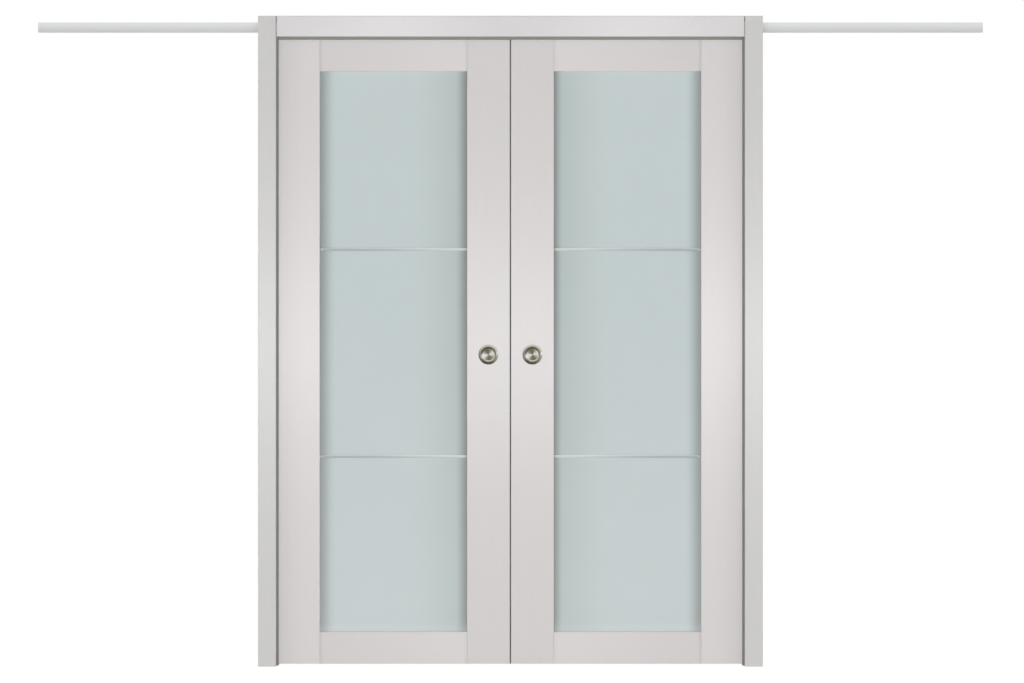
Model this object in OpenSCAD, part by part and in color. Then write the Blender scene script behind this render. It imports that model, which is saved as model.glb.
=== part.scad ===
// Double pocket door: two glazed leaves that hang from one overhead track and slide apart
// through split jambs. The origin is on the floor, midway between the leaves, in their
// mid-plane. X runs along the track, the front is towards -Y, and Z is up.
// Each leaf part is drawn for the right-hand leaf, closed, and mirrored for the left one.

/* [Leaf] */
// Width of one leaf
leaf_w = 762; // [700:1:914]
// Height of one leaf
leaf_h = 2032; // [1900:1:2400]
// Thickness of one leaf
leaf_t = 40; // [36:0.5:44]
// Width of the stile on the pocket side
outer_stile_w = 149; // [125:1:180]
// Width of the stile where the leaves meet
meeting_stile_w = 138; // [125:1:180]
// Height of the top rail
top_rail_h = 121; // [100:1:200]
// Height of the bottom rail
bottom_rail_h = 103; // [96:1:250]
// Chamfer on the long edges of the leaf, the jambs and the casings
arris = 1; // [0.5:0.1:2]
// Gap between the two closed leaves
meeting_gap = 4; // [2:0.5:6]
// Clearance between a leaf and the floor
floor_gap = 6; // [5:0.5:12]
// Diameter of the dowels that join rails to stiles
dowel_d = 8; // [6:1:10]
// Length of a dowel
dowel_len = 60; // [40:2:80]
// Distance between the two dowels of one joint
dowel_pitch = 50; // [40:1:56]
// Width of the rubber seals along the meeting edge of the left leaf
meeting_seal_w = 4; // [3:0.5:5]
// How far those seals lie behind the faces of the leaf
meeting_seal_inset = 1.4; // [1:0.1:2]

/* [Glazing] */
// Thickness of a glass pane
pane_t = 6; // [4:0.5:8]
// Depth that the glass goes into the wood
pane_bite = 12; // [8:1:15]
// Height of the lower divider bar above the foot of the leaf
low_bar_z = 668; // [500:1:800]
// Height of the upper divider bar above the foot of the leaf
high_bar_z = 1336; // [1100:1:1500]
// Visible height of a divider bar
bar_face = 8; // [6:0.5:14]
// Depth of a divider bar, from its front to its back
bar_depth = 16; // [12:0.5:26]
// Thickness of the web between two panes
bar_web = 2; // [1.5:0.5:4]

/* [Pulls] */
// Height of the pulls above the foot of the leaf
pull_z = 997; // [850:1:1100]
// Outside diameter of a face pull
pull_d = 64; // [58:1:80]
// Diameter of a face pull's cup, inside
cup_d = 49; // [38:0.5:50]
// Depth of a face pull's cup below the face of the leaf
cup_depth = 10; // [8:0.5:13]
// Radius at the foot of the cup's wall
cup_round = 6.5; // [1:0.5:8]
// How far a face pull's rim stands proud of the leaf
rim_proud = 1.5; // [0.5:0.1:1.8]
// Wall of the pulls
pull_wall = 1.5; // [1:0.1:2]
// Depth of an edge pull's cup
edge_cup_depth = 11; // [8:0.5:13]
// Thickness of an edge pull's flange
edge_flange_t = 1.5; // [1:0.1:2]

/* [Doorway] */
// Thickness of the wall, which is the depth of the frame
wall_t = 116; // [106:1:160]
// Width of the slot between the front and back half jambs
slot_w = 53; // [51.5:0.5:60]
// Thickness of a jamb
jamb_t = 20; // [18:0.5:30]
// How far a closed leaf stays in the mouth of its pocket
side_lap = 10; // [6:0.5:20]
// How far the top of a leaf goes up behind the head
head_lap = 11.5; // [8:0.5:20]
// How far an open leaf's edge stands out of the jamb
open_proud = 10; // [8.5:0.5:30]
// Thickness of the board that carries the track
board_t = 18; // [15:0.5:30]
// Width of a side casing
side_casing_w = 58; // [45:1:90]
// Thickness of the casings
casing_t = 10; // [8:0.5:16]
// Shadow gap between the head casing and a side casing
casing_gap = 2; // [0.5:0.5:4]
// Thickness of the casings' tongues
tongue_t = 4; // [3:0.5:5]
// Depth of the casings' tongues
tongue_d = 14; // [8:0.5:16]
// Depth of the relief in a casing's back, so that its outer edge pulls tight to the wall
relief_d = 1; // [0.5:0.1:2]
// How far the draught seals stand out of the side jambs
seal_proud = 6.5; // [6:0.5:9]
// How far the draught seals stand out of the head
head_seal_proud = 8.5; // [6:0.5:9]
// Clearance between a draught seal and the face of a leaf
seal_clear = 2.7; // [2.4:0.1:4]
// Width of a draught seal
seal_w = 12.8; // [11:0.1:15]

/* [Track] */
// Outside width of the track
track_w = 34; // [33:0.5:40]
// Outside height of the track
track_h = 31; // [29:0.5:40]
// Wall of the track
track_wall = 2; // [1.5:0.1:2.4]
// Thickness of the lips that the wheels run on
lip_t = 2.5; // [2:0.1:3]
// Width of the slot in the underside of the track
track_slot = 12; // [11:0.5:12.8]
// Distance between the screw holes along the track
hole_pitch = 280; // [160:10:300]
// Distance from the middle of the doorway to the first screw hole
first_hole = 120; // [90:5:200]
// Diameter of the track's screw holes
track_hole_d = 4.5; // [4:0.1:5]
// Space between the top of a leaf and the track
hanger_gap = 5.5; // [4:0.5:12]

/* [Trolley] */
// Distance from each end of a leaf to its trolley
hanger_inset = 75; // [66:1:76]
// Length of a trolley's body
trolley_len = 60; // [54:1:66]
// Thickness of a trolley's body
trolley_t = 12; // [11:0.2:12.6]
// Height of a trolley's body
trolley_h = 18; // [15:0.5:21]
// Distance between a trolley's two axles
axle_pitch = 36; // [32:1:40]
// Diameter of an axle
axle_d = 5; // [4:0.5:6]
// Diameter of a wheel
wheel_d = 20; // [18:0.5:22]
// Width of a wheel
wheel_w = 6.5; // [5:0.1:6.8]
// Diameter of the hanger bolts
bolt_d = 8; // [6:0.5:8.5]
// Length of a hanger plate
plate_len = 90; // [80:1:110]
// Width of a hanger plate
plate_w = 26; // [24:1:30]
// Thickness of a hanger plate
plate_t = 3; // [2.5:0.5:5]
// Length of the rubber buffers on the stops
buffer_len = 20; // [14:1:24]
// Diameter of the rubber buffers
buffer_d = 14; // [10:0.5:17]
// Length of an end stop's block
stop_len = 30; // [20:1:32]

/* [Floor guide] */
// Thickness of the guide's fin
fin_t = 8; // [6:0.5:9]
// Height of the fin inside the leaf's groove
fin_bite = 14; // [10:0.5:18]
// Thickness of the guide's base
guide_base_t = 2.5; // [2:0.5:3.5]
// Thickness of the guide's ears
ear_t = 2.5; // [2:0.5:3]
// Height of the guide's ears
ear_h = 30; // [24:1:40]

/* [Hidden] */
$fn = 64;

// Colours
wood_finish = [0.85, 0.84, 0.83];
board_colour = [0.78, 0.66, 0.48];
dowel_colour = [0.80, 0.68, 0.48];
glass_colour = [0.76, 0.80, 0.80];
aluminium = [0.80, 0.81, 0.82];
nickel = [0.66, 0.65, 0.60];
zinc = [0.70, 0.71, 0.73];
nylon = [0.90, 0.90, 0.88];
rubber = [0.28, 0.28, 0.27];

// Clearances
running = 0.05;      // a shaft in its hole, measured on the radius
snug = 0.1;          // parts that are pushed or glued together
loose = 0.2;         // glass in its groove, and ends that are cut to length
roll_gap = 0.2;      // under the wheels
stop_gap = 0.3;      // between a trolley and its buffer
groove_slack = 2;    // room for the glass and the dowels at the ends of their grooves
overcut = 1;         // how far a cut reaches past the face that it opens
seam = 0.01;         // how far two cuts that meet run into each other

// Leaf
leaf_in = meeting_gap / 2;
leaf_out = leaf_in + leaf_w;
leaf_z0 = floor_gap;
leaf_z1 = leaf_z0 + leaf_h;
lite_in = leaf_in + meeting_stile_w;
lite_out = leaf_out - outer_stile_w;
lite_z0 = leaf_z0 + bottom_rail_h;
lite_z1 = leaf_z1 - top_rail_h;
groove_w = pane_t + 2 * loose;
groove_d = pane_bite + groove_slack;
low_bar = leaf_z0 + low_bar_z;
high_bar = leaf_z0 + high_bar_z;
fin_groove_w = fin_t + 2;
fin_groove_d = fin_bite + 2;

meeting_seal_y = leaf_t / 2 - meeting_seal_inset - meeting_seal_w / 2;
meeting_kerf_w = 1.6;
meeting_kerf_d = 5;

// Pulls
pull_x = leaf_in + meeting_stile_w / 2;
pull_height = leaf_z0 + pull_z;
cup_od = cup_d + 2 * pull_wall;
edge_pull_d = leaf_t - 2 * (meeting_seal_inset + meeting_seal_w + 0.6);
edge_flange_w = 4;
edge_cup_d = edge_pull_d - 2 * edge_flange_w;
edge_cup_od = edge_cup_d + 2 * pull_wall;

// Doorway
jamb_in = leaf_out - side_lap;
jamb_out = jamb_in + jamb_t;
wall_face = wall_t / 2;
slot_edge = slot_w / 2;
head_z = leaf_z1 - head_lap;
seal_y0 = leaf_t / 2 + seal_clear;
seal_y1 = seal_y0 + seal_w;
seal_kerf_w = 3;
seal_kerf_d = 9;
seal_kerf_y = slot_edge + seal_kerf_w / 2 + 1.5;
seal_foot = 1;
tongue_in = 8;
relief_over = 2;     // how far the relief in a casing's back reaches past the jamb
joint_gap = 0.25;

// Track
track_len = 2 * leaf_w;
track_z0 = leaf_z1 + hanger_gap;
track_z1 = track_z0 + track_h;
jamb_h = track_z1;
frame_top = jamb_h + board_t;
run_z = track_z0 + lip_t;
run_w = track_w - 2 * track_wall;
run_h = track_h - lip_t - track_wall;
screw_edge = 25;
track_screw_d = track_hole_d - 2 * loose;
track_screw_bite = board_t - 4;
hole_x = [for (x = [first_hole : hole_pitch : track_len - screw_edge]) x];
screw_x = [for (x = hole_x) if (x < jamb_out - screw_edge) x];

// Trolley
axle_z = run_z + wheel_d / 2 + roll_gap;
outer_hanger = leaf_out - hanger_inset;
inner_hanger = leaf_in + hanger_inset;
wheel_y = track_slot / 2 + 1;
boss_d = axle_d + 4;
boss_h = wheel_y - trolley_t / 2 - loose;
trolley_z0 = run_z + 1;
bolt_head_d = bolt_d * 1.85;
bolt_head_h = 5;
head_room = 4;
nut_h = hanger_gap - 0.5;
bolt_top = trolley_z0 + trolley_h - 2;
plate_screw_x = plate_len / 2 - 12;
plate_screw_y = plate_w / 2 - 6;
plate_screw_d = 4;
plate_screw_head = 7;
plate_screw_len = 28;

// Stops
travel = jamb_in - leaf_in - open_proud;
centre_buffer = inner_hanger - trolley_len / 2 - stop_gap;
end_buffer = outer_hanger + trolley_len / 2 + travel + stop_gap;
stop_w = run_w - 2;
stop_h = run_h - 4;

// Floor guide
guide_in = jamb_in + 0.5;
guide_out = jamb_out - 1;
fin_in = jamb_in - seal_proud + 1.5;
guide_screw_z = ear_h * 0.65;
guide_screw_d = 3.5;
guide_screw_head = 6.5;
guide_screw_len = 16;
guide_screw_x = (guide_in + guide_out) / 2;
floor_hole_d = 4.5;
floor_hole_x = guide_out - 5;
floor_hole_y = slot_edge - ear_t - 8;

echo(travel_mm = travel, wheel_turns_per_m = 1000 / (PI * wheel_d), axle_z = axle_z);
echo(axles_x = [for (h = [inner_hanger, outer_hanger], s = [-1, 1]) h + s * axle_pitch / 2]);
echo(jamb_in = jamb_in, jamb_out = jamb_out, head_z = head_z, frame_top = frame_top);
echo(screw_x = screw_x, hole_x = hole_x, track_z = [track_z0, track_z1]);

// General shapes

// Everything that is mirrored to the left-hand side, or to the back of the wall
module left() { mirror([1, 0, 0]) children(); }
module back() { mirror([0, 1, 0]) children(); }

// A box from one corner to the other
module block(low, high) { translate(low) cube(high - low); }

// A rectangle with all four corners chamfered
module chamfered(low, high, c) {
    polygon([
        [low.x + c, low.y], [high.x - c, low.y], [high.x, low.y + c], [high.x, high.y - c],
        [high.x - c, high.y], [low.x + c, high.y], [low.x, high.y - c], [low.x, low.y + c]
    ]);
}

// A profile drawn in Y and Z, run along X from one place to another
module along_x(from, to) {
    translate([from, 0, 0]) rotate([90, 0, 90]) linear_extrude(to - from) children();
}

// A profile drawn in X and Y, run up Z
module along_z(from, to) {
    translate([0, 0, from]) linear_extrude(to - from) children();
}

// A countersunk screw, point down, with the top of its head at the origin
module countersunk(d, head_d, len, grow = 0) {
    head_h = (head_d - d) / 2;
    translate([0, 0, -head_h]) cylinder(h = head_h, d1 = d + 2 * grow, d2 = head_d + 2 * grow);
    translate([0, 0, -len - grow]) cylinder(h = len + grow - head_h / 2, d = d + 2 * grow);
}

// Leaf

// The parts of a leaf that the joints and fittings take out of its wood
module leaf_cuts() {
    glass_groove();
    fin_groove();
    dowels_at(dowel_d + 2 * snug, dowel_len + groove_slack);
    for (x = [inner_hanger, outer_hanger]) translate([x, 0, leaf_z1]) hanger_cut();
    translate([pull_x, 0, pull_height]) pull_bores();
    translate([leaf_in, 0, pull_height]) edge_pull_bore();
}

module glass_groove() {
    block([lite_in - groove_d, -groove_w / 2, lite_z0 - pane_bite],
          [lite_out + groove_d, groove_w / 2, lite_z1 + groove_d]);
}

module fin_groove() {
    block([leaf_in - overcut, -fin_groove_w / 2, leaf_z0 - overcut],
          [leaf_out + overcut, fin_groove_w / 2, leaf_z0 + fin_groove_d]);
}

module dowels_at(d, len) {
    for (x = [lite_in, lite_out], z = [leaf_z0 + bottom_rail_h / 2, leaf_z1 - top_rail_h / 2],
         s = [-1, 1])
        translate([x, 0, z + s * dowel_pitch / 2])
            rotate([0, 90, 0]) cylinder(h = len, d = d, center = true);
}

module hanger_cut() {
    block([-plate_len / 2 - snug, -plate_w / 2 - snug, -plate_t],
          [plate_len / 2 + snug, plate_w / 2 + snug, overcut]);
    translate([0, 0, -plate_t - bolt_head_h - head_room])
        cylinder(h = bolt_head_h + head_room + overcut, d = bolt_head_d + head_room);
    plate_screws_at(snug);
}

module pull_bores() {
    for (a = [90, -90])
        rotate([a, 0, 0]) translate([0, 0, leaf_t / 2 - cup_depth - pull_wall - snug])
            cylinder(h = cup_depth + pull_wall + snug + overcut, d = cup_od + 2 * snug);
}

module edge_pull_bore() {
    rotate([0, 90, 0]) translate([0, 0, -overcut])
        cylinder(h = overcut + edge_flange_t, d = edge_pull_d + 2 * snug);
    rotate([0, 90, 0])
        cylinder(h = edge_cup_depth + pull_wall + snug, d = edge_cup_od + 2 * snug);
}

module stile(from, to) {
    color(wood_finish) difference() {
        along_z(leaf_z0, leaf_z1) chamfered([from, -leaf_t / 2], [to, leaf_t / 2], arris);
        leaf_cuts();
    }
}

module outer_stile() { stile(lite_out, leaf_out); }

// The left leaf's meeting stile has a kerf near each face for its seals
module meeting_stile(kerfs = false) {
    difference() {
        stile(leaf_in, lite_in);
        if (kerfs) for (s = [-1, 1])
            translate([leaf_in, s * meeting_seal_y, (leaf_z0 + leaf_z1) / 2])
                cube([2 * meeting_kerf_d, meeting_kerf_w, leaf_h + 2 * overcut], center = true);
    }
}

// Two rubber strips that close the gap between the leaves, one near each face
module meeting_seals() {
    nose = 1;
    color(rubber) for (s = [0, 1]) mirror([0, s]) along_z(leaf_z0, leaf_z1)
        translate([leaf_in, meeting_seal_y]) {
            translate([nose - meeting_gap + stop_gap, -meeting_seal_w / 2])
                square([meeting_gap - stop_gap - nose, meeting_seal_w]);
            translate([-meeting_gap + stop_gap, nose - meeting_seal_w / 2])
                square([meeting_gap - stop_gap, meeting_seal_w - 2 * nose]);
            for (y = [-1, 1]) translate([nose - meeting_gap + stop_gap,
                                         y * (meeting_seal_w / 2 - nose)]) circle(r = nose);
            translate([0, snug - meeting_kerf_w / 2])
                square([meeting_kerf_d - snug, meeting_kerf_w - 2 * snug]);
        }
}

module rail(from, to) {
    color(wood_finish) difference() {
        along_x(lite_in, lite_out) chamfered([-leaf_t / 2, from], [leaf_t / 2, to], arris);
        leaf_cuts();
    }
}

module top_rail() { rail(lite_z1, leaf_z1); }

module bottom_rail() { rail(leaf_z0, lite_z0); }

module pane(from, to) {
    color(glass_colour)
        block([lite_in - pane_bite, -pane_t / 2, from], [lite_out + pane_bite, pane_t / 2, to]);
}

module glass_bottom() { pane(lite_z0 - pane_bite, low_bar - bar_web / 2); }

module glass_middle() { pane(low_bar + bar_web / 2, high_bar - bar_web / 2); }

module glass_top() { pane(high_bar + bar_web / 2, lite_z1 + pane_bite); }

// An H section: a web that lies between two panes, and a flange on each face of the glass
module divider_bars() {
    color(aluminium) for (z = [low_bar, high_bar]) translate([0, 0, z]) {
        along_x(lite_in + loose, lite_out - loose) {
            for (s = [0, 1]) mirror([s, 0])
                chamfered([pane_t / 2 + snug, -bar_face / 2], [bar_depth / 2, bar_face / 2],
                          arris / 2);
            square([bar_depth / 2 + pane_t / 2, bar_web], center = true);
        }
        along_x(lite_in - pane_bite, lite_out + pane_bite)
            square([pane_t, bar_web], center = true);
    }
}

module dowels() { color(dowel_colour) dowels_at(dowel_d, dowel_len); }

// Half of a face pull's section, turned about its axis: a rounded rim, a wall and a floor
module pull_section() {
    face = leaf_t / 2;
    floor_y = face - cup_depth;
    difference() {
        union() {
            translate([0, floor_y - pull_wall]) square([cup_od / 2, cup_depth + pull_wall]);
            translate([0, face]) square([pull_d / 2 - rim_proud, rim_proud]);
            translate([pull_d / 2 - rim_proud, face]) intersection() {
                circle(r = rim_proud);
                square(rim_proud);
            }
        }
        translate([0, floor_y + cup_round]) square([cup_d / 2, cup_depth + rim_proud]);
        translate([0, floor_y]) square([cup_d / 2 - cup_round, cup_round + seam]);
        translate([cup_d / 2 - cup_round, floor_y + cup_round]) circle(r = cup_round);
        translate([cup_d / 2, face + rim_proud]) rotate(45) square(rim_proud, center = true);
    }
}

module back_pull() {
    color(nickel) translate([pull_x, 0, pull_height]) rotate([-90, 0, 0])
        rotate_extrude() pull_section();
}

module front_pull() { back() back_pull(); }

module edge_pull() {
    color(nickel) translate([leaf_in, 0, pull_height]) rotate([0, 90, 0]) difference() {
        union() {
            cylinder(h = edge_flange_t, d = edge_pull_d);
            cylinder(h = edge_cup_depth + pull_wall, d = edge_cup_od);
        }
        translate([0, 0, -overcut]) cylinder(h = edge_cup_depth + overcut, d = edge_cup_d);
        translate([0, 0, -seam]) cylinder(h = arris, d1 = edge_cup_d + 2 * arris, d2 = edge_cup_d);
    }
}

// Hangers and trolleys

module plate_screws_at(grow = 0) {
    for (x = [-1, 1], y = [-1, 1])
        translate([x * plate_screw_x, y * plate_screw_y, 0])
            countersunk(plate_screw_d, plate_screw_head, plate_screw_len, grow);
}

module hanger_plates() {
    color(zinc) for (x = [inner_hanger, outer_hanger]) translate([x, 0, leaf_z1]) difference() {
        block([-plate_len / 2, -plate_w / 2, -plate_t], [plate_len / 2, plate_w / 2, 0]);
        translate([0, 0, -plate_t - overcut])
            cylinder(h = plate_t + 2 * overcut, d = bolt_d + 2 * loose);
        plate_screws_at(snug);
    }
}

module plate_screws() {
    color(zinc) for (x = [inner_hanger, outer_hanger])
        translate([x, 0, leaf_z1]) plate_screws_at();
}

// A hex-headed bolt that hangs the leaf from its trolley, and its lock nut
module hanger_bolts() {
    head_z = leaf_z1 - plate_t - bolt_head_h;
    color(zinc) for (x = [inner_hanger, outer_hanger]) translate([x, 0, 0]) {
        translate([0, 0, head_z]) cylinder(h = bolt_head_h, d = bolt_head_d, $fn = 6);
        translate([0, 0, head_z]) cylinder(h = bolt_top - head_z, d = bolt_d);
        translate([0, 0, leaf_z1]) difference() {
            cylinder(h = nut_h, d = bolt_head_d, $fn = 6);
            translate([0, 0, -overcut])
                cylinder(h = nut_h + 2 * overcut, d = bolt_d + 2 * running);
        }
    }
}

module axle_pin() {
    end = wheel_y + wheel_w + snug;
    rotate([90, 0, 0]) {
        cylinder(h = 2 * end, d = axle_d, center = true);
        for (s = [0, 1]) mirror([0, 0, s]) translate([0, 0, end]) cylinder(h = 0.8, d = boss_d);
    }
}

module trolley_body() {
    difference() {
        union() {
            rotate([90, 0, 0]) linear_extrude(trolley_t, center = true)
                chamfered([-trolley_len / 2, trolley_z0],
                          [trolley_len / 2, trolley_z0 + trolley_h], 3);
            for (x = [-1, 1]) translate([x * axle_pitch / 2, 0, axle_z]) rotate([90, 0, 0])
                cylinder(h = trolley_t + 2 * boss_h, d = boss_d, center = true);
        }
        for (x = [-1, 1]) translate([x * axle_pitch / 2, 0, axle_z]) rotate([90, 0, 0])
            cylinder(h = track_w, d = axle_d + 2 * running, center = true);
        translate([0, 0, trolley_z0 - overcut])
            cylinder(h = bolt_top + 1 - trolley_z0 + overcut, d = bolt_d + 2 * running);
    }
}

module trolleys() {
    color(zinc) for (x = [inner_hanger, outer_hanger]) translate([x, 0, 0]) {
        trolley_body();
        for (s = [-1, 1]) translate([s * axle_pitch / 2, 0, axle_z]) axle_pin();
    }
}

// The two wheels on one axle. Axle 1 is nearest to the middle of the doorway, 4 furthest.
module wheels(axle) {
    hanger = axle < 3 ? inner_hanger : outer_hanger;
    x = hanger + (axle % 2 == 1 ? -1 : 1) * axle_pitch / 2;
    color(nylon) translate([x, 0, axle_z]) for (s = [0, 1]) mirror([0, s, 0])
        translate([0, wheel_y, 0]) rotate([-90, 0, 0]) wheel();
}

// Its outer face is dished between the tyre and the hub, and the corners of the tread are eased
module wheel() {
    edge = 0.8;
    dish = 1.2;
    bore = axle_d / 2 + running;
    hub = axle_d / 2 + 2;
    tyre = wheel_d / 2 - 2;
    tread = wheel_d / 2;
    rotate_extrude() polygon([
        [bore, 0], [tread - edge, 0], [tread, edge], [tread, wheel_w - edge],
        [tread - edge, wheel_w], [tyre, wheel_w], [tyre - dish / 2, wheel_w - dish],
        [hub + dish / 2, wheel_w - dish], [hub, wheel_w], [bore, wheel_w]
    ]);
}

// Frame

module half_jamb() {
    color(wood_finish) difference() {
        along_z(0, jamb_h) chamfered([jamb_in, slot_edge], [jamb_out, wall_face], arris);
        block([jamb_in + tongue_in - snug, wall_face - tongue_d - 1, -overcut],
              [jamb_in + tongue_in + tongue_t + snug, wall_face + overcut, jamb_h + overcut]);
        block([jamb_in - overcut, seal_kerf_y - seal_kerf_w / 2, -overcut],
              [jamb_in + seal_kerf_d, seal_kerf_y + seal_kerf_w / 2, head_z + overcut]);
        guide_screws_at(snug);
    }
}

module head_jamb() {
    color(wood_finish) difference() {
        along_x(-jamb_in + joint_gap, jamb_in - joint_gap)
            chamfered([slot_edge, head_z], [wall_face, jamb_h], arris);
        block([-jamb_in, wall_face - tongue_d - 1, head_z + tongue_in - snug],
              [jamb_in, wall_face + overcut, head_z + tongue_in + tongue_t + snug]);
        block([-jamb_in, seal_kerf_y - seal_kerf_w / 2, head_z - overcut],
              [jamb_in, seal_kerf_y + seal_kerf_w / 2, head_z + seal_kerf_d]);
    }
}

module head_board() {
    color(board_colour) difference() {
        block([-jamb_out, -wall_face, jamb_h], [jamb_out, wall_face, frame_top]);
        for (side = [-1, 1], x = screw_x) translate([side * x, 0, jamb_h])
            cylinder(h = 2 * track_screw_bite, d = track_screw_d + 2 * snug, center = true);
    }
}

// A casing's section: a is the edge next to the doorway, and its back is relieved over the jamb
module casing_section(a, b) {
    front = wall_face + casing_t;
    c = arris * 1.6;
    difference() {
        polygon([[a, wall_face], [b, wall_face], [b, front - c], [b - c, front],
                 [a + c, front], [a, front - c]]);
        translate([a + tongue_in, wall_face - overcut])
            square([jamb_t - tongue_in + relief_over, relief_d + overcut]);
    }
}

// The tongue that holds a casing in the groove of its jamb
module casing_tongue(a) {
    translate([a + tongue_in, wall_face - tongue_d]) square([tongue_t, tongue_d + relief_d]);
}

module side_casing() {
    color(wood_finish) {
        along_z(0, frame_top) casing_section(jamb_in, jamb_in + side_casing_w);
        along_z(0, jamb_h) casing_tongue(jamb_in);
    }
}

// The head casing lies between the side casings, and its ends are eased like their edges
module head_casing() {
    front = wall_face + casing_t;
    end = jamb_in - casing_gap;
    c = arris * 1.6;
    color(wood_finish) intersection() {
        along_x(-end, end) rotate(90) mirror([0, 1]) {
            casing_section(head_z, frame_top);
            casing_tongue(head_z);
        }
        along_z(head_z, frame_top) polygon([
            [-end, 0], [end, 0], [end, front - c], [end - c, front],
            [c - end, front], [-end, front - c]
        ]);
    }
}

// A rubber bulb seal with a barbed root, which stands out of its jamb by a given length along X
module seal_section(proud) {
    r = 3;
    difference() {
        union() {
            translate([0, seal_y0]) square([proud - r, seal_w]);
            translate([0, seal_y0 + r]) square([proud, seal_w - 2 * r]);
            for (y = [seal_y0 + r, seal_y1 - r]) translate([proud - r, y]) circle(r = r);
        }
        translate([proud / 2 + 0.3, (seal_y0 + seal_y1) / 2]) circle(r = proud * 0.3);
    }
    translate([-seal_kerf_d + 1, seal_kerf_y - seal_kerf_w / 2 + 0.6])
        square([seal_kerf_d, seal_kerf_w - 1.2]);
    translate([-seal_kerf_d + 1, seal_kerf_y - seal_kerf_w / 2 + snug])
        square([2, seal_kerf_w - 2 * snug]);
}

module draught_seals() {
    color(rubber) for (y = [0, 1]) mirror([0, y, 0]) {
        for (x = [0, 1]) mirror([x, 0, 0])
            along_z(seal_foot, head_z - snug)
                translate([jamb_in, 0]) mirror([1, 0]) seal_section(seal_proud);
        along_x(-jamb_in + seal_proud + snug, jamb_in - seal_proud - snug)
            translate([0, head_z]) rotate(-90) seal_section(head_seal_proud);
    }
}

// Track

module track_section() {
    difference() {
        translate([-track_w / 2, track_z0]) square([track_w, track_h]);
        translate([-run_w / 2, run_z]) square([run_w, run_h]);
        translate([-track_slot / 2, track_z0 - overcut]) square([track_slot, lip_t + 2 * overcut]);
    }
}

module track_length() {
    difference() {
        along_x(joint_gap, track_len) track_section();
        for (x = hole_x) translate([x, 0, track_z1 - track_wall - overcut])
            cylinder(h = track_wall + 2 * overcut, d = track_hole_d);
    }
}

module track() {
    color(aluminium) {
        track_length();
        left() track_length();
    }
}

module track_screws() {
    head_h = 2.2;
    for (side = [-1, 1], x = screw_x) translate([side * x, 0, track_z1 - track_wall]) {
        translate([0, 0, -head_h]) cylinder(h = head_h, d = 2 * track_screw_d);
        cylinder(h = track_wall + track_screw_bite, d = track_screw_d);
    }
}

// A block that is clamped in the track: one joins the two lengths, one ends each of them
module stop_block(from, to) {
    block([from, -stop_w / 2, run_z], [to, stop_w / 2, run_z + stop_h]);
}

module track_stops() {
    half = centre_buffer - buffer_len;
    start = end_buffer + buffer_len;
    color(zinc) {
        stop_block(-half, half);
        stop_block(start, start + stop_len);
        left() stop_block(start, start + stop_len);
    }
}

module buffer(from) {
    translate([from, 0, axle_z]) rotate([0, 90, 0]) cylinder(h = buffer_len, d = buffer_d);
}

module stop_buffers() {
    color(rubber) for (side = [0, 1]) mirror([side, 0, 0]) {
        buffer(centre_buffer - buffer_len);
        buffer(end_buffer);
    }
}

// Floor guide: a base between the half jambs, an ear on each of them, and a fin for the leaf

module floor_guide() {
    foot = 3;
    difference() {
        union() {
            block([guide_in, -slot_edge, 0], [guide_out, slot_edge, guide_base_t]);
            block([fin_in, -fin_t / 2 - foot, 0], [guide_out, fin_t / 2 + foot, guide_base_t]);
            block([fin_in, -fin_t / 2, 0], [guide_out, fin_t / 2, leaf_z0 + fin_bite]);
            for (s = [0, 1]) mirror([0, s, 0])
                block([guide_in, slot_edge - ear_t, 0], [guide_out, slot_edge, ear_h]);
        }
        for (s = [-1, 1]) translate([floor_hole_x, s * floor_hole_y, -overcut])
            cylinder(h = guide_base_t + 2 * overcut, d = floor_hole_d);
        guide_screws_at(snug);
    }
}

module guide_screws_at(grow = 0) {
    for (s = [0, 1]) mirror([0, s, 0])
        translate([guide_screw_x, slot_edge - ear_t, guide_screw_z])
            rotate([90, 0, 0]) countersunk(guide_screw_d, guide_screw_head, guide_screw_len, grow);
}

module floor_guides() {
    color(nylon) {
        floor_guide();
        left() floor_guide();
    }
}

// The screws of the track and those of the floor guides
module frame_screws() {
    color(zinc) {
        track_screws();
        guide_screws_at();
        left() guide_screws_at();
    }
}

left() outer_stile();  // left_outer_stile
left() meeting_stile(kerfs = true);  // left_meeting_stile
left() top_rail();  // left_top_rail
left() bottom_rail();  // left_bottom_rail
left() glass_top();  // left_glass_top
left() glass_middle();  // left_glass_middle
left() glass_bottom();  // left_glass_bottom
left() divider_bars();  // left_divider_bars
left() dowels();  // left_dowels
left() meeting_seals();  // left_meeting_seals
left() front_pull();  // left_front_pull
left() back_pull();  // left_back_pull
left() edge_pull();  // left_edge_pull
left() hanger_plates();  // left_hanger_plates
left() plate_screws();  // left_plate_screws
left() hanger_bolts();  // left_hanger_bolts
left() trolleys();  // left_trolleys
left() wheels(1);  // left_wheels_1
left() wheels(2);  // left_wheels_2
left() wheels(3);  // left_wheels_3
left() wheels(4);  // left_wheels_4
outer_stile();  // right_outer_stile
meeting_stile();  // right_meeting_stile
top_rail();  // right_top_rail
bottom_rail();  // right_bottom_rail
glass_top();  // right_glass_top
glass_middle();  // right_glass_middle
glass_bottom();  // right_glass_bottom
divider_bars();  // right_divider_bars
dowels();  // right_dowels
front_pull();  // right_front_pull
back_pull();  // right_back_pull
edge_pull();  // right_edge_pull
hanger_plates();  // right_hanger_plates
plate_screws();  // right_plate_screws
hanger_bolts();  // right_hanger_bolts
trolleys();  // right_trolleys
wheels(1);  // right_wheels_1
wheels(2);  // right_wheels_2
wheels(3);  // right_wheels_3
wheels(4);  // right_wheels_4
left() back() half_jamb();  // left_front_jamb
left() half_jamb();  // left_back_jamb
back() half_jamb();  // right_front_jamb
half_jamb();  // right_back_jamb
back() head_jamb();  // head_front_jamb
head_jamb();  // head_back_jamb
head_board();
left() back() side_casing();  // left_front_casing
left() side_casing();  // left_back_casing
back() side_casing();  // right_front_casing
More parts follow.
